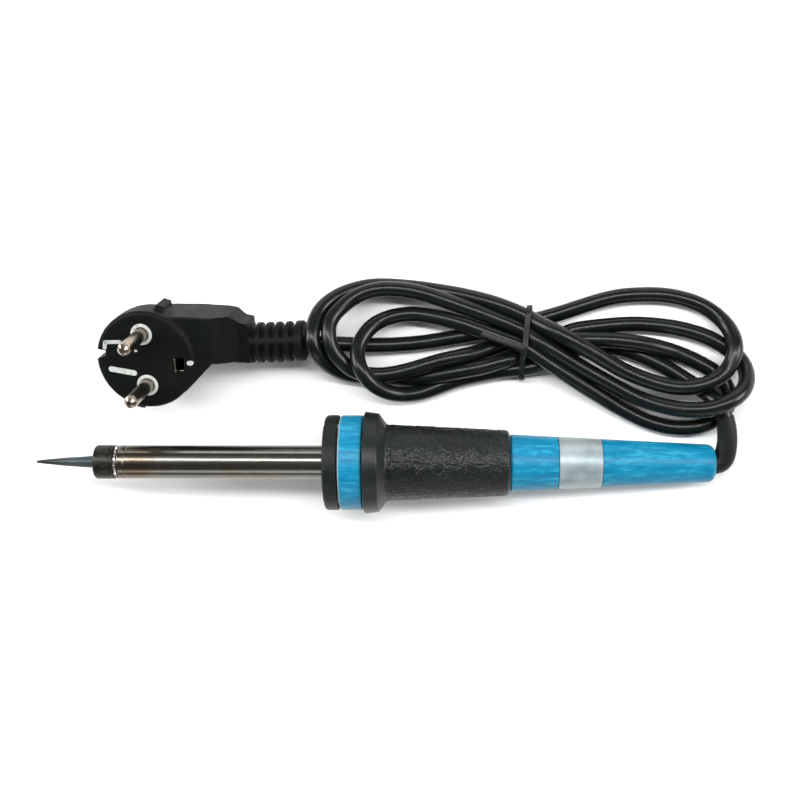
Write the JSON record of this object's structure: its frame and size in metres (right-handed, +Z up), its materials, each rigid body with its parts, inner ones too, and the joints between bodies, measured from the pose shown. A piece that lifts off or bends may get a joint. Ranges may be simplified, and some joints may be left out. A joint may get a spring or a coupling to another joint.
{
  "type": "soldering iron",
  "caption": "Mains soldering iron with a pencil bit, steel barrel, flanged rubber grip, tapered blue handle, and a hanked lead with an angled earthed plug.",
  "frame": {"origin": "under the middle of the iron's length, without its lead, on the surface that it lies on", "axes": "+X from the bit towards the handle's rear end, +Y towards the hank and plug, +Z up; the iron's own axis tilts about 5.4 degrees, with the bit raised"},
  "size_m": [0.2511, 0.0852, 0.0466],
  "materials": {
    "bit_plating": "iron-plated copper, dull grey",
    "collar_steel": "blackened turned steel",
    "bright_steel": "polished steel",
    "barrel_steel": "drawn and polished steel, heat tinted",
    "plate_steel": "zinc-plated steel",
    "cap_plastic": "heat-resistant moulding, matt black",
    "handle_plastic": "moulded blue plastic, satin with flow streaks",
    "grip_rubber": "soft black rubber, grained on the grip",
    "label_foil": "metallised film, no print",
    "ceramic": "unglazed steatite ceramic",
    "mica": "mica and fibre board",
    "heater_wire": "nickel-chrome wire",
    "brass": "stamped brass",
    "insulation_brown": "PVC insulation, brown",
    "insulation_blue": "PVC insulation, blue",
    "insulation_earth": "PVC insulation, green and yellow",
    "boot_rubber": "black rubber",
    "cord_pvc": "black PVC jacket, satin gloss",
    "tie_plastic": "flat plastic-coated wire tie, black",
    "plug_pvc": "black moulded PVC",
    "bridge_plastic": "light grey moulded plastic",
    "pin_nickel": "nickel-plated brass"
  },
  "bodies": {
    "iron": {"barrel": "barrel_steel", "heater_core": "plate_steel", "heater_winding": "heater_wire", "mica_sleeve": "mica", "ceramic_bush": "ceramic", "front_cap": "cap_plastic", "mount_plate": "plate_steel", "heat_gasket": "mica", "cap_screw_1": "bright_steel", "cap_screw_2": "bright_steel", "cap_screw_3": "bright_steel", "handle_body": "handle_plastic", "grip_sleeve": "grip_rubber", "rating_label": "label_foil", "heater_tail_live": "heater_wire", "crimp_live": "brass", "core_live": "insulation_brown", "heater_tail_neutral": "heater_wire", "crimp_neutral": "brass", "core_neutral": "insulation_blue", "earth_tag": "brass", "core_earth": "insulation_earth", "jacket_end": "cord_pvc", "cord_ferrule": "plate_steel", "handle_boot": "boot_rubber", "cord_lead": "cord_pvc", "cord_hank": "cord_pvc", "cord_tie": "tie_plastic", "plug_body": "plug_pvc", "plug_bridge": "bridge_plastic", "plug_pin_1": "pin_nickel", "plug_pin_2": "pin_nickel", "earth_clip_left": "pin_nickel", "earth_clip_right": "pin_nickel", "earth_socket": "pin_nickel"},
    "bit": {"tip": "bit_plating"},
    "spacer": {"collar_washer": "bright_steel"},
    "collar": {"tip_collar": "collar_steel"}
  },
  "joints": [
    {"name": "bit_slide", "type": "slide", "parent": "iron", "child": "bit", "axis": [-0.9955, 0, 0.0951], "range_m": [0, 0.051]},
    {"name": "collar_travel", "type": "slide", "parent": "iron", "child": "spacer", "axis": [-0.9955, 0, 0.0951], "range_m": [0, 0.005]},
    {"name": "collar_turn", "type": "hinge", "parent": "spacer", "child": "collar", "pos_m": [-0.09576, 0, 0.02688], "axis": [-0.9955, 0, 0.0951], "range_deg": [0, 1800]}
  ],
  "couplings": [
    {"joint": "collar_travel", "follows": "collar_turn", "m_per_rad": 0.00015915}
  ]
}
